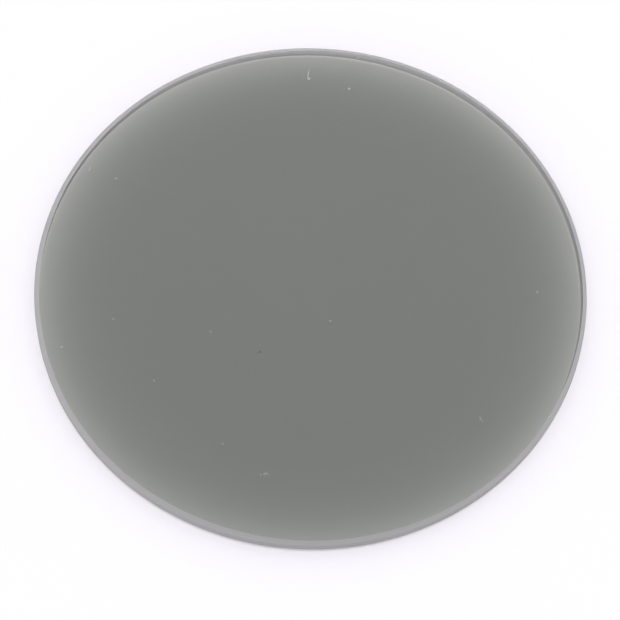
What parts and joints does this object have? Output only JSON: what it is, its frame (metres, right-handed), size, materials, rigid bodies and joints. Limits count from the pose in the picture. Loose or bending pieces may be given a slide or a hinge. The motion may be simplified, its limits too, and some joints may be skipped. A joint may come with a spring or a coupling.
{
  "type": "neutral grey microscope filter",
  "caption": "Round flat disc of smoky grey glass with a ground, bevelled rim, laid in a microscope's light path to dim the lamp evenly.",
  "frame": {"origin": "centre of the lower face, which lies on the plane z = 0", "axes": "+Z along the disc's axis, out of the upper face; X and Y lie in the disc's plane and are alike"},
  "size_m": [0.045, 0.045, 0.0016],
  "materials": {
    "smoky_glass": "neutral grey glass tinted right through, polished faces, fine-ground rim and bevels, light dust"
  },
  "bodies": {
    "root": {"filter_disc": "smoky_glass"}
  },
  "joints": []
}
